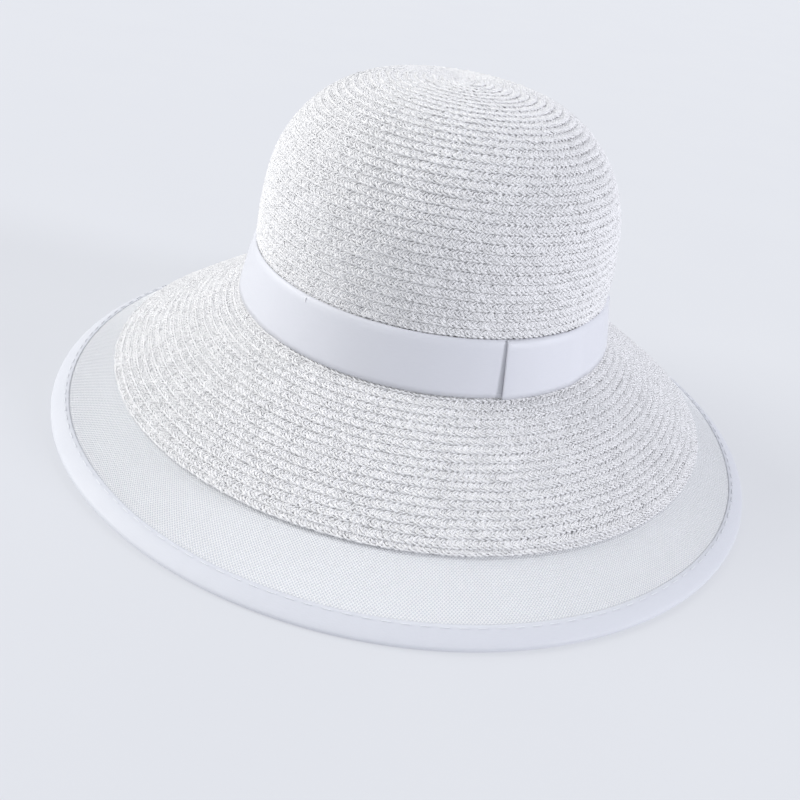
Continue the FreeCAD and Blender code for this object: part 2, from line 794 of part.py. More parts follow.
for item in doc.Objects:
    if "Invalid" in item.State or "Error" in item.State:
        raise RuntimeError(f"{item.Name} failed: {item.State}")
for body in subparts:
    if body.Shape.isNull() or not body.Shape.isValid():
        raise RuntimeError(f"{body.Label} has no valid shape")

os.makedirs("parts", exist_ok=True)
for body in subparts:
    body.Shape.exportStep(os.path.join("parts", f"{body.Label}.step"))
    box = body.Shape.BoundBox
    print(
        f"{body.Label:22s} solids {len(body.Shape.Solids):3d}  volume {body.Shape.Volume:10.1f}"
        f"  radius {box.XMax:7.2f}  height {box.ZMin:7.2f} to {box.ZMax:7.2f}"
    )
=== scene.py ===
"""Looks of a wide-brimmed sun hat: plaited straw, sheer net, satin band and wired ribbon edge.

Lengths are in metres in the frame's own axes: Z is the crown's axis and -Y the front. The hat is
round, so most shapes are drawn as (radius, height) sections and carried round the axis. The
straw is one long three-strand plait that is sewn in a spiral from the crown's tip to the edge.
"""

import math

import bpy
import numpy as np
from mathutils import Matrix, Vector


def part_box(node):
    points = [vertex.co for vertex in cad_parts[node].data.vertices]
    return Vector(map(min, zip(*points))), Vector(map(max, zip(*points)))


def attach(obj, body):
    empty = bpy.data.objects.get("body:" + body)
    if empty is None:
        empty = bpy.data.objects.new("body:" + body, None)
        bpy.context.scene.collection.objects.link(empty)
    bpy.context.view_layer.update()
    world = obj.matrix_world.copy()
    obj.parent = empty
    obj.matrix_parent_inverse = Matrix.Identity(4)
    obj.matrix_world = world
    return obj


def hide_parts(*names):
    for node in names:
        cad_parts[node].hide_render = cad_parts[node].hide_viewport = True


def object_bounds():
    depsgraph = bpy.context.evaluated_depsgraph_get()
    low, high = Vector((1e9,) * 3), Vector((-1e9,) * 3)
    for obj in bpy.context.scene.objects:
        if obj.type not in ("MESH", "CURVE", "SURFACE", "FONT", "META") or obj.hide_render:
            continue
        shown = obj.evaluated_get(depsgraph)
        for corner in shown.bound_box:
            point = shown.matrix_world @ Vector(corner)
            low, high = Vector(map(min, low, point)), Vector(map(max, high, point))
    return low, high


TURN = 2 * math.pi

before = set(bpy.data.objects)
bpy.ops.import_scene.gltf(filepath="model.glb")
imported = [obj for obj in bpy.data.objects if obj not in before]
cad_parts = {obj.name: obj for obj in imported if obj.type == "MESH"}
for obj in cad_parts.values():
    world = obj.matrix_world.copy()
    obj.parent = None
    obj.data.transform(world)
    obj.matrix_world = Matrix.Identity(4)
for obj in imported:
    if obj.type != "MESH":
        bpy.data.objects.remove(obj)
cad_low, cad_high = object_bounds()

# ---------------------------------------------------------------------------------------------
# Sizes
# ---------------------------------------------------------------------------------------------

crown_low, crown_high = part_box("crown_braid")
_, brim_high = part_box("brim_braid")
wire_low, wire_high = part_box("edge_wire")
band_low, band_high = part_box("hat_band")
sweat_low, sweat_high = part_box("sweatband")

# the crown's and brim's arcs, as the frame's sections have them
TOP_ARC = 0.260
SHOULDER_ARC = 0.064
SIDE_ARC = 0.170
WALL_TOP = 0.095
FLARE_RADIUS = 0.020
BRIM_BOW = 1.000
BRIM_ROOT = (0.0980, 0.0616)
CROWN_RADIUS = crown_high.x
CROWN_HEIGHT = crown_high.z
HEADLINE = crown_low.z
STRAW_EDGE = brim_high.x
WIRE_RADIUS = (wire_high.z - wire_low.z) / 2
WIRE = (wire_high.x - WIRE_RADIUS, wire_low.z + WIRE_RADIUS)

# the layers of the brim, as distances above the middle of the net
STRAW_FACE = 0.00215
STRAW_THICKNESS = 0.0018
TAPE_FACE = -0.00085

# the plait and its small irregularities
ROW_PITCH = 0.0043
PLAIT_PERIOD = 0.0084
PLAIT_SAMPLES = 10
CORD_SIDES = 4
STRANDS = 3
SWING = 0.0015
WEAVE_DEPTH = 0.00032
CORD_WIDTH = 0.00122
CORD_THICKNESS = 0.00092
CORD_SHIFT = 0.00056
CRINKLE = 0.00023
SHINGLE = math.radians(9.5)
SWING_CHANGE = 0.05
ROW_DRIFT = 0.00014
STRAND_SLACK = 0.25
CORD_WIDTH_CHANGE = 0.14
CORD_RISE = 0.00010
PLAIT_START = 0.0026
ROUTE_STEPS = 720
CLOSING_TURN = 0.8
CLOSING_DROP = 0.0006

# the button that fills the crown's tip
BUTTON_LENGTH = 0.030
BUTTON_TURNS = 2.1
BUTTON_START = 0.0002
BUTTON_REACH = 0.0030
BUTTON_CORD_WIDTH = 0.0016
BUTTON_CORD_THICKNESS = 0.0010
BUTTON_CORD_GIRTH = 0.0042

# the net
NET_INNER = 0.1505
NET_OUTER = 0.1871
NET_THREADS = 704
NET_THREAD_WIDTH = 0.00038
NET_THREAD_THICKNESS = 0.00021
NET_CRIMP = 0.00010
NET_SECTORS = 4

# the ribbons of the band and the edge
RIBBON_THICKNESS = 0.00028
BAND_TOP_RADIUS = 0.0926
BAND_BOTTOM_RADIUS = 0.0984
BAND_BULGE = 0.00030
BAND_DRAWN_IN = 0.0009
LAP_AZIMUTH = math.radians(295)
LAP_ANGLE = math.radians(22)
LAP_STAND = 0.0012
LAP_CORNER_STAND = 0.0010
LAP_EASE = 0.016
TURN_IN = 0.011
FOLD_GAP = 0.00022
BINDING_WIDTH = 0.0092
BINDING_ROLL = 0.0017
BINDING_HEM = 0.0008
BINDING_LAP = math.radians(5)
BINDING_TUCK = 1.1 * RIBBON_THICKNESS
HEM_PRESS = 0.00046
HEM_PRESS_START = 0.82
HEM_WAVE = 0.00018
EDGE_STITCHES = 144
STITCH_PUCKER = 0.00005

# the sweatband and the tape under the seam of straw and net
SWEAT_THICKNESS = 0.0006
HEAD_RADIUS = 0.0890
SWEAT_HEM_TOP = 0.0760
SWEAT_HEM_RADIUS = 0.0907
TAPE_THICKNESS = 0.0005
TAPE_INNER = 0.1485
TAPE_OUTER = 0.1590
SEAM_STITCHES = 120


# ---------------------------------------------------------------------------------------------
# Sections of the hat
# ---------------------------------------------------------------------------------------------


def bow_centre():
    """The centre of the brim's arc, which runs from the brim's root to the wire."""
    start = np.array(BRIM_ROOT)
    chord = np.array(WIRE) - start
    half = np.linalg.norm(chord) / 2
    down = np.array([chord[1], -chord[0]]) / (2 * half)
    return start + chord / 2 + down * math.sqrt(BRIM_BOW**2 - half**2)


BOW_CENTRE = bow_centre()


def direction(start, end):
    """The angle of the way from one point to another."""
    return math.atan2(end[1] - start[1], end[0] - start[0])


def arc(centre, radius, first, last):
    """Closely spaced points of an arc between two angles."""
    count = max(3, int(abs(last - first) * radius / 0.0002))
    angle = np.linspace(first, last, count)
    return np.column_stack([centre[0] + radius * np.cos(angle), centre[1] + radius * np.sin(angle)])


def bow_point(offset, radius):
    """The point of a brim layer at a distance from the axis."""
    return (
        radius,
        BOW_CENTRE[1] + math.sqrt((BRIM_BOW + offset) ** 2 - (radius - BOW_CENTRE[0]) ** 2),
    )


def bow_angle(radius, offset=0.0):
    """The direction of a brim point from the centre of the brim's arc."""
    return direction(BOW_CENTRE, bow_point(offset, radius))


class Section:
    """A (radius, height) line that can be read at any distance along it and above it."""

    def __init__(self, points):
        step = np.linalg.norm(np.diff(points, axis=0), axis=1)
        keep = np.concatenate([[True], step > 1e-9])
        self.points = points[keep]
        step = np.linalg.norm(np.diff(self.points, axis=0), axis=1)
        self.along = np.concatenate([[0.0], np.cumsum(step)])
        tangent = np.gradient(self.points, self.along, axis=0)
        tangent /= np.linalg.norm(tangent, axis=1)[:, None]
        self.normal = np.column_stack([-tangent[:, 1], tangent[:, 0]])

    def read(self, along, lift=0.0):
        """Radius and height at distances along the line, lifted off it."""
        radius, height = (np.interp(along, self.along, self.points[:, i]) for i in (0, 1))
        out, up = (np.interp(along, self.along, self.normal[:, i]) for i in (0, 1))
        return radius + lift * out, height + lift * up

    def distance_to(self, radius=None, height=None):
        """How far along the line it first reaches a radius, or comes down to a height."""
        if radius is not None:
            return float(self.along[np.argmax(self.points[:, 0] >= radius)])
        return float(self.along[np.argmax(self.points[:, 1] <= height)])


def straw_section():
    """The straw's outer face from the tip, over the wall and flare, to past the straw's edge."""
    top = np.array([0.0, CROWN_HEIGHT - TOP_ARC])
    side = np.array([CROWN_RADIUS - SIDE_ARC, WALL_TOP])
    # the shoulder's centre is a fixed distance from the top's and the side's centres
    from_top = TOP_ARC - SHOULDER_ARC
    from_side = SIDE_ARC - SHOULDER_ARC
    apart = math.dist(top, side)
    corner = math.acos((from_top**2 + apart**2 - from_side**2) / (2 * from_top * apart))
    way = direction(top, side) - corner
    shoulder = top + from_top * np.array([math.cos(way), math.sin(way)])
    turn = direction(side, shoulder)

    flare_x = CROWN_RADIUS + FLARE_RADIUS
    flare = bow_point(STRAW_FACE + FLARE_RADIUS, flare_x)
    root = direction(BOW_CENTRE, flare)
    wall = np.linspace([CROWN_RADIUS, WALL_TOP], [CROWN_RADIUS, flare[1]], 80)
    past_edge = STRAW_EDGE + 0.012
    return Section(
        np.concatenate(
            [
                arc(top, TOP_ARC, math.pi / 2, way),
                arc(shoulder, SHOULDER_ARC, way, turn),
                arc(side, SIDE_ARC, turn, 0),
                wall,
                arc(flare, FLARE_RADIUS, math.pi, math.pi + root),
                arc(BOW_CENTRE, BRIM_BOW + STRAW_FACE, root, bow_angle(past_edge, STRAW_FACE)),
            ]
        )
    )


def brim_section(offset, inner, outer):
    """One layer of the brim between two radii."""
    return Section(arc(BOW_CENTRE, BRIM_BOW + offset, bow_angle(inner), bow_angle(outer)))


def wander(length, seed, *waves):
    """A slow, smooth irregularity between -1 and 1 along a length."""
    turns = [np.sin(TURN * length / wave + seed * (3.1 + 1.7 * i)) for i, wave in enumerate(waves)]
    return sum(turns) / len(waves)


def smooth_step(value):
    """Eases from 0 to 1 as value goes from 0 to 1."""
    value = np.clip(value, 0, 1)
    return value * value * (3 - 2 * value)


# ---------------------------------------------------------------------------------------------
# Meshes
# ---------------------------------------------------------------------------------------------


def carry_round(radius, height, azimuth):
    """Points in space from radius, height and azimuth."""
    height = np.broadcast_to(height, np.broadcast_shapes(radius.shape, azimuth.shape))
    return np.stack([radius * np.cos(azimuth), radius * np.sin(azimuth), height], axis=-1)


def sweep(name, points, along, around, closed=False):
    """A mesh of tubes: points is (tube, ring, side, xyz), along and around its sizes in metres.

    The UV layer Weave is in metres along and around each tube. The layer OFBake lays every quad
    in its own place on a square.
    """
    tubes, rings, sides = points.shape[:3]
    rows = rings if closed else rings - 1
    ring = np.arange(rows)
    side = np.arange(sides)
    tube = np.arange(tubes)
    here = (tube[:, None, None] * rings + ring[None, :, None]) * sides
    there = (tube[:, None, None] * rings + (ring[None, :, None] + 1) % rings) * sides
    after = (side + 1) % sides
    quads = np.stack([here + side, there + side, there + after, here + after], axis=-1)
    quads = quads.reshape(-1, 4)

    shape = (tubes, rows, sides)
    u_here = np.broadcast_to(along[:, :rows, None], shape)
    u_there = np.broadcast_to(along[:, 1 : rows + 1, None], shape)
    v_here = np.broadcast_to(around[:-1], shape)
    v_there = np.broadcast_to(around[1:], shape)
    weave = np.stack([u_here, v_here, u_there, v_here, u_there, v_there, u_here, v_there], axis=-1)
    weave = weave.reshape(-1, 4, 2)

    aspect = (along[0, 1] - along[0, 0]) * sides / around[-1]
    across = max(1, round(math.sqrt(tubes * rows * sides / aspect)))
    lines = math.ceil(tubes * rows / across) * sides
    number = (tube[:, None] * rows + ring[None, :])[:, :, None]
    left = np.broadcast_to(number % across / across, shape)
    low = np.broadcast_to((number // across * sides + side) / lines, shape)
    right, high = left + 1 / across, low + 1 / lines
    lay = np.stack([left, low, right, low, right, high, left, high], axis=-1).reshape(-1, 4, 2)

    if not closed:
        half = np.arange(sides // 2 - 1)
        cap = np.stack([half, half + 1, sides - 2 - half, sides - 1 - half], axis=-1)
        first = (tube[:, None, None] * rings * sides + cap).reshape(-1, 4)
        last = first[:, ::-1] + (rings - 1) * sides
        quads = np.concatenate([quads, first, last])
        extra = len(quads) - len(weave)
        weave = np.concatenate([weave, np.repeat(weave[:1], extra, axis=0)])
        lay = np.concatenate([lay, np.repeat(lay[:1], extra, axis=0)])

    flat = points.reshape(-1, 3)
    corner = flat[quads[:, 0]] - flat.mean(axis=0)
    diagonals = np.cross(flat[quads[:, 2]] - flat[quads[:, 0]], flat[quads[:, 3]] - flat[quads[:, 1]])
    if np.einsum("ij,ij->", corner, diagonals) < 0:
        quads, weave, lay = quads[:, ::-1], weave[:, ::-1], lay[:, ::-1]

    mesh = bpy.data.meshes.new(name)
    mesh.vertices.add(len(flat))
    mesh.vertices.foreach_set("co", flat.astype(np.float32).ravel())
    mesh.loops.add(quads.size)
    mesh.loops.foreach_set("vertex_index", quads.astype(np.int32).ravel())
    mesh.polygons.add(len(quads))
    mesh.polygons.foreach_set("loop_start", np.arange(0, quads.size, 4, dtype=np.int32))
    mesh.polygons.foreach_set("use_smooth", np.ones(len(quads), dtype=bool))
    mesh.update(calc_edges=True)
    for layer, values in (("Weave", weave), ("OFBake", lay)):
        uv = mesh.uv_layers.new(name=layer)
        uv.uv.foreach_set("vector", np.ascontiguousarray(values, dtype=np.float32).ravel())
    return mesh


def piece(mesh, look):
    """Puts a mesh in the scene as a piece of the hat, with its material."""
    made = bpy.data.objects.new(mesh.name, mesh)
    bpy.context.scene.collection.objects.link(made)
    mesh.materials.append(look)
    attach(made, "root")
    return made


def thicken(line, half):
    """A closed outline round a middle line, thinner at its two ends. line is (ring, point, 2)."""
    tangent = np.gradient(line, axis=1)
    tangent /= np.linalg.norm(tangent, axis=2)[:, :, None]
    normal = np.stack([-tangent[:, :, 1], tangent[:, :, 0]], axis=-1)
    width = np.full(line.shape[1], half)
    width[[0, -1]] *= 0.45
    offset = normal * width[None, :, None]
    return np.concatenate([line + offset, (line - offset)[:, ::-1]], axis=1)


def outline_lengths(outline):
    """Distances round a closed outline, one more than it has points."""
    step = np.linalg.norm(np.roll(outline, -1, axis=0) - outline, axis=1)
    return np.concatenate([[0.0], np.cumsum(step)])


def ring_strip(name, outline, azimuth, closed=True):
    """A strip carried round the axis. outline is (ring, point, 2) of radius and height."""
    points = carry_round(outline[:, :, 0], outline[:, :, 1], azimuth[:, None])
    run = azimuth - azimuth[0]
    if closed:
        run = np.append(run, TURN)
    along = run[None, :] * outline[0, :, 0].mean()
    return sweep(name, points[None], along, outline_lengths(outline[0]), closed)


# ---------------------------------------------------------------------------------------------
# Materials
# ---------------------------------------------------------------------------------------------


class Look:
    """A node material. Uniform values sit on the shader's own sockets."""

    def __init__(self, name, colour, **sockets):
        self.material = bpy.data.materials.new(name)
        self.material.use_nodes = True
        self.tree = self.material.node_tree
        self.shader = self.tree.nodes["Principled BSDF"]
        self.shader.inputs["Base Color"].default_value = (*colour, 1)
        for socket, value in sockets.items():
            self.shader.inputs[socket.replace("_", " ")].default_value = value

    def node(self, kind, inputs=None, **settings):
        """Adds a node; inputs maps a socket to a value or to another node's output."""
        made = self.tree.nodes.new(f"ShaderNode{kind}")
        for setting, value in settings.items():
            setattr(made, setting, value)
        for socket, value in (inputs or {}).items():
            if isinstance(value, bpy.types.NodeSocket):
                self.tree.links.new(value, made.inputs[socket])
            else:
                made.inputs[socket].default_value = value
        return made

    def weave(self, along, across):
        """Weave coordinates that count 1 for each given length along and across, in metres."""
        uv = self.node("UVMap", uv_map="Weave")
        size = (1 / along, 1 / across, 1)
        scaled = self.node("VectorMath", {0: uv.outputs["UV"], 1: size}, operation="MULTIPLY")
        return scaled.outputs["Vector"]

    def noise(self, vector, detail=2.0):
        """Noise between 0 and 1 over some coordinates."""
        sockets = {"Vector": vector, "Scale": 1.0, "Detail": detail}
        return self.node("TexNoise", sockets).outputs["Fac"]

    def place(self, scale):
        """The piece's own coordinates, scaled up from metres."""
        at = self.node("TexCoord").outputs["Object"]
        scaled = self.node("VectorMath", {0: at, 1: (scale,) * 3}, operation="MULTIPLY")
        return scaled.outputs["Vector"]

    def math(self, operation, first, second):
        """Arithmetic on two values or outputs."""
        return self.node("Math", {0: first, 1: second}, operation=operation).outputs["Value"]

    def span(self, value, low, high):
        """Maps 0.3..0.7 of a noise to low..high."""
        sockets = {"Value": value, "From Min": 0.3, "From Max": 0.7, "To Min": low, "To Max": high}
        return self.node("MapRange", sockets).outputs["Result"]

    def tint(self, value, first, second):
        """Blends two colours by a value between 0 and 1."""
        mix = self.node("Mix", data_type="RGBA")
        self.tree.links.new(value, mix.inputs["Factor"])
        mix.inputs[6].default_value = (*first, 1)
        mix.inputs[7].default_value = (*second, 1)
        self.tree.links.new(mix.outputs[2], self.shader.inputs["Base Color"])

    def rough(self, value):
        """Drives the roughness."""
        self.tree.links.new(value, self.shader.inputs["Roughness"])

    def bump(self, height, depth):
        """Raises the surface by a height between 0 and 1, times a depth in metres."""
        bump = self.node("Bump", {"Height": height, "Distance": depth, "Strength": 1.0})
        self.tree.links.new(bump.outputs["Normal"], self.shader.inputs["Normal"])


def straw_look():
    """White paper straw: lengthwise fibres, faint creases and a soft gloss."""
    look = Look("straw_braid", (0.955, 0.947, 0.95), Roughness=0.4, Sheen_Weight=0.05)
    fibres = look.noise(look.weave(0.0025, 0.00018), 3.0)
    creases = look.noise(look.place(1100.0), 2.0)
    tone = look.noise(look.place(70.0), 2.0)
    look.tint(look.span(tone, 0.0, 1.0), (0.942, 0.934, 0.937), (0.972, 0.964, 0.967))
    look.rough(look.span(creases, 0.20, 0.55))
    raised = look.math("ADD", look.math("MULTIPLY", fibres, 0.35), creases)
    look.bump(raised, 0.00060)
    return look.material


def net_look():
    """White knotless net yarn, smooth."""
    look = Look("net_yarn", (0.95, 0.955, 0.965), Roughness=0.4)
    twist = look.noise(look.weave(0.0005, 0.00025), 1.0)
    look.rough(look.span(twist, 0.32, 0.5))
    look.bump(twist, 0.00003)
    return look.material


def ribbon_look(name, colour, rib_pitch, rib_depth, roughness, sheen):
    """Woven ribbon: ribs across its width, slubs along it and a soft lustre."""
    look = Look(name, colour, Roughness=roughness, Sheen_Weight=sheen, Sheen_Roughness=0.4)
    ribs = look.node(
        "TexWave",
        {"Vector": look.weave(rib_pitch, rib_pitch), "Scale": 1 / math.pi, "Distortion": 0.3},
        bands_direction="X",
    ).outputs["Fac"]
    slubs = look.noise(look.weave(0.0040, 0.0003), 1.0)
    ripple = look.noise(look.place(55.0), 1.0)
    shade = tuple(0.98 * value for value in colour)
    look.tint(look.span(slubs, 0.0, 1.0), shade, colour)
    look.rough(look.span(ripple, roughness - 0.05, roughness + 0.07))
    look.bump(look.math("ADD", ribs, slubs), rib_depth)
    return look.material


def thread_look(name, colour):
    """Two-ply sewing thread."""
    look = Look(name, colour, Roughness=0.5, Sheen_Weight=0.2)
    ply = look.noise(look.place(2600.0), 1.0)
    look.tint(look.span(ply, 0.0, 1.0), tuple(0.92 * value for value in colour), colour)
    look.bump(ply, 0.00006)
    return look.material


def metal_look(name, colour, roughness, grain):
    """Drawn or plated metal with fine marks."""
    look = Look(name, colour, Metallic=1.0, Roughness=roughness)
    marks = look.noise(look.place(grain), 3.0)
    shade = tuple(0.8 * value for value in colour)
    look.tint(look.span(marks, 0.0, 1.0), shade, colour)
    look.rough(look.span(marks, roughness - 0.08, roughness + 0.12))
    return look.material


def floor_look():
    """Plain pale studio paper, lit a little from below."""
    glow = {"Emission_Color": (0.92, 0.94, 1.0, 1), "Emission_Strength": 0.55}
    look = Look("floor_paper", (0.22, 0.225, 0.235), Roughness=0.9, **glow)
    grain = look.noise(look.place(9.0), 2.0)
    look.tint(look.span(grain, 0.0, 1.0), (0.217, 0.222, 0.233), (0.223, 0.228, 0.237))
    return look.material


STRAW = straw_look()
NET = net_look()
SATIN = ribbon_look("satin_band", (0.722, 0.727, 0.77), 0.00034, 0.00002, 0.42, 0.25)
EDGE = ribbon_look("edge_ribbon", (0.705, 0.715, 0.758), 0.00050, 0.00003, 0.5, 0.15)
SWEAT = ribbon_look("sweat_ribbon", (0.82, 0.82, 0.84), 0.00110, 0.00012, 0.6, 0.2)
TAPE = ribbon_look("seam_tape", (0.85, 0.85, 0.87), 0.00080, 0.00008, 0.6, 0.2)
THREAD = thread_look("sewing_thread", (0.89, 0.89, 0.91))
EDGE_THREAD = thread_look("edge_thread", (0.84, 0.85, 0.88))


# ---------------------------------------------------------------------------------------------
# Straw
# ---------------------------------------------------------------------------------------------

straw = straw_section()
row_half = SWING + CORD_SHIFT + CORD_WIDTH / 2
last_row = straw.distance_to(radius=STRAW_EDGE) - row_half


def plait_route():
    """The plait's middle as equal steps: its length so far, place down the section and azimuth.

    Its last turn stays at one distance from the tip, so that the straw ends in a true circle,
    and it slips under the turn before as it goes.
    """
    turns = (last_row - PLAIT_START) / ROW_PITCH + CLOSING_TURN
    azimuth = np.linspace(0, TURN * turns, int(turns * ROUTE_STEPS))
    down = np.minimum(PLAIT_START + ROW_PITCH * azimuth / TURN, last_row)
    radius, _ = straw.read(down)
    step = np.diff(azimuth) * (radius[1:] + radius[:-1]) / 2
    length = np.concatenate([[0.0], np.cumsum(step)])
    even = np.arange(0, length[-1], PLAIT_PERIOD / PLAIT_SAMPLES)
    around = np.interp(even, length, azimuth)
    # the last turn ends at the back
    return even, np.interp(even, length, down), around - around[-1] + TURN / 4


plait_length, plait_down, plait_azimuth = plait_route()
closing = TURN * CLOSING_TURN
slip_under = smooth_step((plait_azimuth - plait_azimuth[-1] + closing) / closing)


def plait_mesh(name, first, last):
    """A run of the plait between two steps: three strands of two cords that weave together."""
    length = plait_length[first:last]
    swing = SWING * (1 + SWING_CHANGE * wander(length, 1.0, 0.031, 0.083))
    shift = ROW_DRIFT * wander(length, 2.0, 0.047, 0.12, 0.29)
    drop = -STRAW_THICKNESS / 2 - CLOSING_DROP * slip_under[first:last]
    side = TURN * np.arange(CORD_SIDES) / CORD_SIDES
    crumple = np.random.default_rng(first)
    cords = []
    for strand in range(STRANDS):
        slack = STRAND_SLACK * wander(length, 3.0 + strand, 0.019, 0.053)
        phase = TURN * (length / PLAIT_PERIOD + strand / STRANDS) + slack
        # a strand crosses the plait quickly and dwells at the plait's edges
        place = swing * (1.5 * np.sin(phase) - 0.5 * np.sin(phase) ** 3)
        lean = swing * 1.5 * np.cos(phase) ** 3 * TURN / PLAIT_PERIOD
        climb = WEAVE_DEPTH * np.cos(2 * phase) * 2 * TURN / PLAIT_PERIOD
        still = np.zeros_like(lean)
        ahead = np.stack([still + 1, lean, climb], axis=-1)
        ahead /= np.linalg.norm(ahead, axis=1)[:, None]
        flat = np.stack([-lean, still + 1, still], axis=-1)
        flat /= np.linalg.norm(flat, axis=1)[:, None]
        thick = np.cross(ahead, flat)
        for cord in (-1, 1):
            seed = 6.0 + 2 * strand + cord
            change = CORD_WIDTH_CHANGE * wander(length, seed, 0.0043, 0.0071, 0.023)
            width = CORD_WIDTH / 2 * (1 + change)
            rise = CORD_RISE * wander(length, seed + 0.5, 0.0037, 0.0059, 0.017)
            out = (width[:, None] * np.cos(side))[:, :, None] * flat[:, None, :]
            out = out + (CORD_THICKNESS / 2 * np.sin(side))[None, :, None] * thick[:, None, :]
            out = out + (cord * CORD_SHIFT * flat + rise[:, None] * thick)[:, None, :]
            out = out + CRINKLE * crumple.uniform(-1, 1, out.shape)
            across = place[:, None] + out[:, :, 1]
            lift = (WEAVE_DEPTH * np.sin(2 * phase))[:, None] + out[:, :, 2]
            # each row leans, so that its outer edge lies over the next row's inner edge
            down = across * math.cos(SHINGLE) - lift * math.sin(SHINGLE)
            up = lift * math.cos(SHINGLE) + across * math.sin(SHINGLE)
            down = down + (plait_down[first:last] + shift)[:, None]
            radius, height = straw.read(down, up + drop[:, None])
            turn = out[:, :, 0] / np.maximum(radius, 0.002)
            azimuth = plait_azimuth[first:last, None] + turn
            cords.append(carry_round(radius, height, azimuth))
    around = np.linspace(0, 2 * math.hypot(CORD_WIDTH, CORD_THICKNESS), CORD_SIDES + 1)
    along = np.stack([length + cord * 0.37 for cord in range(len(cords))])
    return sweep(name, np.stack(cords), along, around)


def make_straw():
    """The crown and the brim, each as five runs of the one plait."""
    headline = straw.distance_to(height=HEADLINE)
    crown_end = int(np.argmax(plait_down >= headline))
    parts = {
        "crown_braid": (0, crown_end, ("tip", "top", "shoulder", "side", "wall")),
        "brim_braid": (crown_end, len(plait_length), ("root", "inner", "middle", "outer", "edge")),
    }
    for node, (start, end, labels) in parts.items():
        cuts = np.linspace(start, end, len(labels) + 1).astype(int)
        for label, first, last in zip(labels, cuts, cuts[1:]):
            mesh = plait_mesh(f"{node}_{label}", first, min(last + 1, end))
            made = piece(mesh, STRAW)
            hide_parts(node)


def make_tip_button():
    """The first turns of the plait, wound tight into a small button that fills the tip."""
    length = np.arange(0, BUTTON_LENGTH, BUTTON_LENGTH / 50)
    wound = np.sqrt(length / BUTTON_LENGTH)
    turn = wound * BUTTON_TURNS * TURN
    down = BUTTON_START + BUTTON_REACH * wound
    side = TURN * np.arange(6) / 6
    across = down[:, None] + BUTTON_CORD_WIDTH / 2 * np.cos(side)[None, :]
    # the cord lies in the straw's middle, and a little deeper the further out it is
    middle = -STRAW_THICKNESS / 2 - down[:, None] / 30
    lift = middle + BUTTON_CORD_THICKNESS / 2 * np.sin(side)[None, :]
    radius, height = straw.read(np.abs(across), lift)
    radius = radius * np.sign(across)
    points = carry_round(radius, height, turn[:, None])
    around = np.linspace(0, BUTTON_CORD_GIRTH, 7)
    mesh = sweep("crown_tip_button", points[None], length[None], around)
    made = piece(mesh, STRAW)
    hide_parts("crown_braid")


# ---------------------------------------------------------------------------------------------
# Net
# ---------------------------------------------------------------------------------------------


def make_net():
    """The sheer ring: two families of slanting threads in a plain weave, in four sectors."""
    section = brim_section(0.0, NET_INNER, NET_OUTER)
    radius = section.points[:, 0]
    step = np.diff(section.along) * 2 / (radius[1:] + radius[:-1])
    advance = np.concatenate([[0.0], np.cumsum(step)])
    crossing = math.pi / NET_THREADS
    crossings = np.arange(int(advance[-1] / crossing) + 1)
    down = np.interp(crossings * crossing, advance, section.along)
    ring_radius, _ = section.read(down)
    over = np.where(crossings % 2 == 0, 1.0, -1.0)
    side = TURN * np.arange(4) / 4
    length = down * math.sqrt(2)
    around = np.linspace(0, 2 * math.hypot(NET_THREAD_WIDTH, NET_THREAD_THICKNESS), 5)
    share = NET_THREADS // NET_SECTORS
    slant = math.sqrt(0.5)
    edge = NET_THREAD_WIDTH / 2 * np.cos(side)
    face = NET_THREAD_THICKNESS / 2 * np.sin(side)
    for sector in range(NET_SECTORS):
        first = (sector * share + np.arange(share)) * TURN / NET_THREADS
        families = []
        for hand in (1, -1):
            middle = first[:, None] + hand * crossings * crossing
            lift = hand * over[:, None] * NET_CRIMP + face[None, :]
            across = down[:, None] - hand * slant * edge[None, :]
            out, up = section.read(across, lift)
            turn = slant * edge[None, :] / ring_radius[:, None]
            azimuth = middle[:, :, None] + turn[None, :, :]
            families.append(carry_round(out[None], up[None], azimuth))
        points = np.concatenate(families)
        along = np.broadcast_to(length, (len(points), len(length)))
        mesh = sweep(f"net_brim_{sector + 1}", points, along, around)
        made = piece(mesh, NET)
        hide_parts("net_brim")


# ---------------------------------------------------------------------------------------------
# Ribbons
# ---------------------------------------------------------------------------------------------


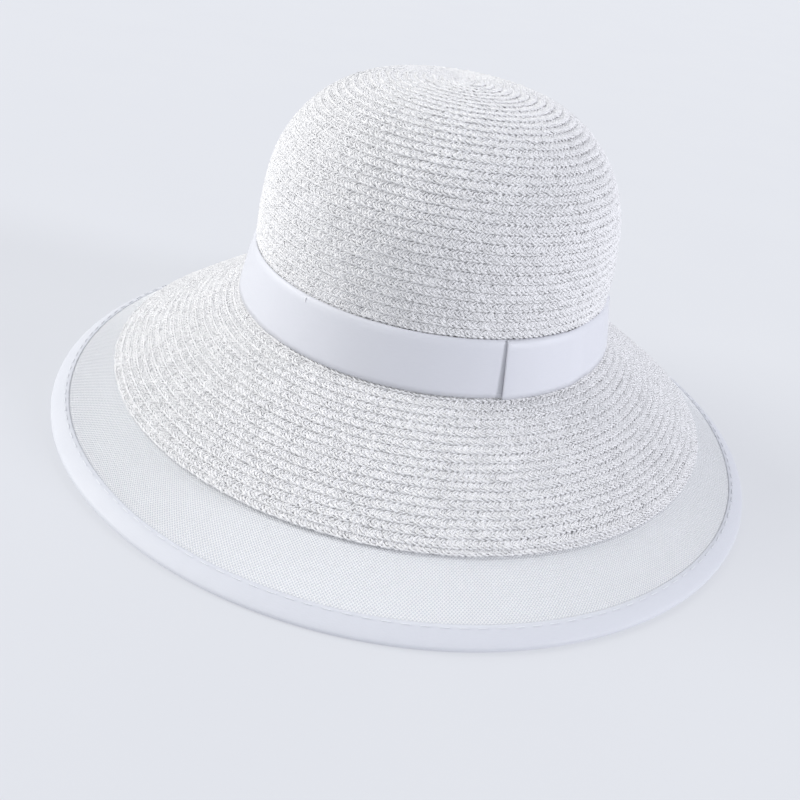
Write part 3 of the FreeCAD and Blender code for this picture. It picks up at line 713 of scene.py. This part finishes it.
def make_edge_binding():
    """Ribbon folded round the wire, with its ends lapped at the back and a pucker per stitch."""
    azimuth = TURN / 4 - BINDING_LAP + np.linspace(0, TURN + BINDING_LAP, 1081)
    slope = TURN / 4 - bow_angle(WIRE[0])
    inward = np.array([-math.cos(slope), math.sin(slope)])
    upward = np.array([math.sin(slope), math.cos(slope)])
    half = RIBBON_THICKNESS / 2
    roll = BINDING_ROLL - half
    hem = BINDING_HEM - half
    bend = np.linspace(-TURN / 4, TURN / 4, 9)
    reach = np.array([1.0, 0.94, 0.88, 0.82, 0.66, 0.44, 0.22])
    # the face's height eases down from the roll, and the hem's edge is pressed on to the net
    pressed = HEM_PRESS * np.clip((reach - HEM_PRESS_START) / (1 - HEM_PRESS_START), 0, 1)
    face = roll + (hem - roll) * reach**1.8 - pressed
    # distances inward and upward from the wire: under face, round the wire, upper face
    under = np.column_stack([reach * BINDING_WIDTH, -face])
    fold = np.column_stack([-roll * np.cos(bend), roll * np.sin(bend)])
    line = np.concatenate([under, fold, under[::-1] * [1, -1]])
    flat = np.broadcast_to(line, (len(azimuth), *line.shape)).copy()
    hem_side = np.clip(line[:, 0] / BINDING_WIDTH, 0, 1)
    facing = np.sign(line[:, 1])
    wave = HEM_WAVE * wander(azimuth * WIRE[0], 1.3, 0.11, 0.29)
    pucker = STITCH_PUCKER * np.cos(azimuth * EDGE_STITCHES)
    flat[:, :, 0] += wave[:, None] * hem_side
    flat[:, :, 1] += facing * (pucker[:, None] * hem_side**2 - 0.00003 * hem_side)
    # the last end is tucked inside the first
    from_end = azimuth[-1] - azimuth
    tucked = BINDING_TUCK * smooth_step((1.6 * BINDING_LAP - from_end) / (0.5 * BINDING_LAP))
    flat[:, :, 1] -= facing * tucked[:, None]
    flat[:, :, 0] += (line[:, 0] < 0) * tucked[:, None]
    middle = np.array(WIRE) + flat[:, :, :1] * inward + flat[:, :, 1:] * upward
    outline = thicken(middle[:, ::-1], half)
    mesh = ring_strip("edge_binding_ribbon", outline, azimuth, closed=False)
    made = piece(mesh, EDGE)
    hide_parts("edge_binding")


def make_hat_band():
    """Satin ribbon round the crown; its end is folded under and lapped over its start."""
    top = np.array([BAND_TOP_RADIUS, band_high.z])
    bottom = np.array([BAND_BOTTOM_RADIUS, band_low.z])
    stations = np.concatenate([[0.0, 0.02], np.linspace(0.05, 1, 10)])
    half = RIBBON_THICKNESS / 2
    fold = half + FOLD_GAP
    middle_radius = (top[0] + bottom[0]) / 2
    whole = TURN * middle_radius
    lap_length = LAP_ANGLE * middle_radius
    bend = np.linspace(-TURN / 4, -3 * TURN / 4, 9)[1:-1]
    # the way round, the height off the crown, and how far the face looks outward and sideways
    runs = (
        (np.linspace(TURN_IN, fold, 10), -2 * fold, -1.0, 0.0),
        (fold + fold * np.cos(bend), fold * np.sin(bend) - fold, np.sin(bend), np.cos(bend)),
        (np.linspace(fold, 0.05, 40), 0.0, 1.0, 0.0),
        (np.linspace(0.05, whole, 340)[1:], 0.0, 1.0, 0.0),
        (np.linspace(whole, whole + lap_length, 14)[1:], 0.0, 1.0, 0.0),
    )
    path = np.concatenate([np.stack(np.broadcast_arrays(*run)) for run in runs], axis=1)
    way, tuck, outward, sideways = path
    # the lap stands off more at its lower corner
    stand = LAP_STAND + LAP_CORNER_STAND * stations
    lap = stand[None, :] * (1 - 0.45 * smooth_step(way / lap_length))[:, None]
    lap = lap * (1 - smooth_step((way - lap_length) / LAP_EASE))[:, None]
    # the ribbon bulges a little, and its upper edge is drawn in against the crown
    bulge = BAND_BULGE * np.sqrt(stations * (1 - stations) * 4)
    bulge -= BAND_DRAWN_IN * np.clip(1 - stations / 0.05, 0, 1)
    slack = 0.00012 * wander(way, 0.7, 0.021, 0.055, 0.13)[:, None] * stations[None, :]
    height = top[1] + (bottom[1] - top[1]) * stations
    base = top[0] + (bottom[0] - top[0]) * stations + bulge - half
    middle = base[None, :] + lap + tuck[:, None] + slack
    faces = []
    for turned in (half, -half):
        azimuth = LAP_AZIMUTH + (way + turned * sideways) / middle_radius
        radius = middle + turned * outward[:, None]
        faces.append(carry_round(radius, height[None, :], azimuth[:, None]))
    points = np.concatenate([faces[0], faces[1][:, ::-1]], axis=1)
    run = np.concatenate([[0.0], np.cumsum(np.hypot(np.diff(way), np.diff(tuck)))])
    width = math.dist(top, bottom)
    # the edges add their own thickness to the way round the ribbon
    edge = 0.0003
    around = np.concatenate([stations * width, width * (1 + stations) + edge, [2 * (width + edge)]])
    made = piece(sweep("hat_band_ribbon", points[None], run[None], around), SATIN)
    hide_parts("hat_band")


def make_sweatband():
    """The inner ribbon, its lower hem flared on to the braid."""
    azimuth = np.linspace(0, TURN, 481)[:-1]
    half = SWEAT_THICKNESS / 2
    inner = HEAD_RADIUS + half
    wall = np.linspace([inner, sweat_high.z], [inner, SWEAT_HEM_TOP], 9)
    hem = np.linspace([inner, SWEAT_HEM_TOP], [SWEAT_HEM_RADIUS + half, sweat_low.z], 4)[1:]
    line = np.concatenate([wall, hem])
    ripple = 0.00010 * wander(azimuth * inner, 0.4, inner * TURN / 9, inner * TURN / 23)
    lines = np.broadcast_to(line, (len(azimuth), *line.shape)).copy()
    lines[:, 0, 0] += ripple
    made = piece(ring_strip("sweatband_ribbon", thicken(lines, half), azimuth), SWEAT)
    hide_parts("sweatband")


def make_seam_tape():
    """The tape under the lapped seam of straw and net."""
    azimuth = np.linspace(0, TURN, 481)[:-1]
    half = TAPE_THICKNESS / 2
    section = brim_section(TAPE_FACE + half, TAPE_INNER, TAPE_OUTER)
    width = section.along[-1]
    radius, height = section.read(np.linspace(0, width, 9))
    line = np.column_stack([radius, height])
    lines = np.broadcast_to(line, (len(azimuth), *line.shape)).copy()
    pucker = 0.8 * STITCH_PUCKER * np.cos(azimuth * SEAM_STITCHES)
    lines[:, :, 1] += pucker[:, None] * np.linspace(-1, 1, 9) ** 2
    made = piece(ring_strip("seam_tape_ribbon", thicken(lines, half), azimuth), TAPE)
    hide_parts("net_seam_tape")


# ---------------------------------------------------------------------------------------------
# Carried-over pieces, studio and camera
# ---------------------------------------------------------------------------------------------


def dress(node, look):
    """Gives a piece of the frame its material."""
    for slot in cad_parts[node].material_slots:
        slot.material = look


def make_floor():
    """A wide pale floor under the hat."""
    size = 20.0
    mesh = bpy.data.meshes.new("floor")
    corners = [(-size, -size), (size, -size), (size, size), (-size, size)]
    mesh.from_pydata([(x, y, cad_low.z) for x, y in corners], [], [(0, 1, 2, 3)])
    mesh.materials.append(floor_look())
    floor = bpy.data.objects.new("floor", mesh)
    bpy.context.scene.collection.objects.link(floor)


def soft_light(name, toward, power, spread, colour):
    """Even light from one side, spread over an angle in degrees."""
    lamp = bpy.data.lights.new(name, "SUN")
    lamp.angle = math.radians(spread)
    lamp.energy = power
    lamp.color = colour
    made = bpy.data.objects.new(name, lamp)
    made.rotation_euler = Vector(toward).to_track_quat("Z", "Y").to_euler()
    bpy.context.scene.collection.objects.link(made)


def make_studio():
    """Soft light from the upper left, weaker from the right and back, in a pale room."""
    world = bpy.data.worlds.new("room")
    world.use_nodes = True
    background = world.node_tree.nodes["Background"]
    background.inputs["Color"].default_value = (0.90, 0.93, 1.0, 1)
    background.inputs["Strength"].default_value = 0.55
    bpy.context.scene.world = world
    soft_light("key", (-1.25, 0.06, 0.70), 2.38, 40, (1.0, 1.0, 0.98))
    soft_light("fill", (1.35, -0.26, 0.52), 1.76, 16, (0.92, 0.93, 1.0))
    soft_light("back", (0.1, 1.4, 1.0), 0.3, 50, (0.97, 0.98, 1.0))


def make_camera():
    """A camera in front of the hat, above it and tipped to one side."""
    elevation = math.radians(30.62)
    roll = math.radians(10.57)
    distance = 0.5371
    ahead = Vector((0, math.cos(elevation), -math.sin(elevation)))
    level = Vector((1, 0, 0))
    above = level.cross(ahead)
    right = level * math.cos(roll) + above * math.sin(roll)
    up = above * math.cos(roll) - level * math.sin(roll)
    lens = bpy.data.cameras.new("camera")
    lens.sensor_width = 36
    lens.lens = 42.34
    lens.shift_x = -0.0077
    lens.shift_y = 0.0050
    lens.clip_start = 0.01
    camera = bpy.data.objects.new("camera", lens)
    turned = Matrix((right, up, -ahead)).transposed().to_4x4()
    camera.matrix_world = Matrix.Translation(-ahead * distance) @ turned
    bpy.context.scene.collection.objects.link(camera)
    bpy.context.scene.camera = camera


make_straw()
make_tip_button()
make_net()
make_edge_binding()
make_hat_band()
make_sweatband()
make_seam_tape()
for seam in ("headline_stitching", "net_seam_stitching", "sweatband_stitching", "band_tacks"):
    dress(seam, THREAD)
dress("binding_stitching", EDGE_THREAD)
dress("edge_wire", metal_look("spring_wire", (0.56, 0.57, 0.58), 0.3, 900.0))
dress("wire_ferrule", metal_look("crimped_ferrule", (0.66, 0.65, 0.62), 0.4, 700.0))
make_floor()
make_studio()
make_camera()
bpy.context.scene.view_settings.view_transform = "Standard"
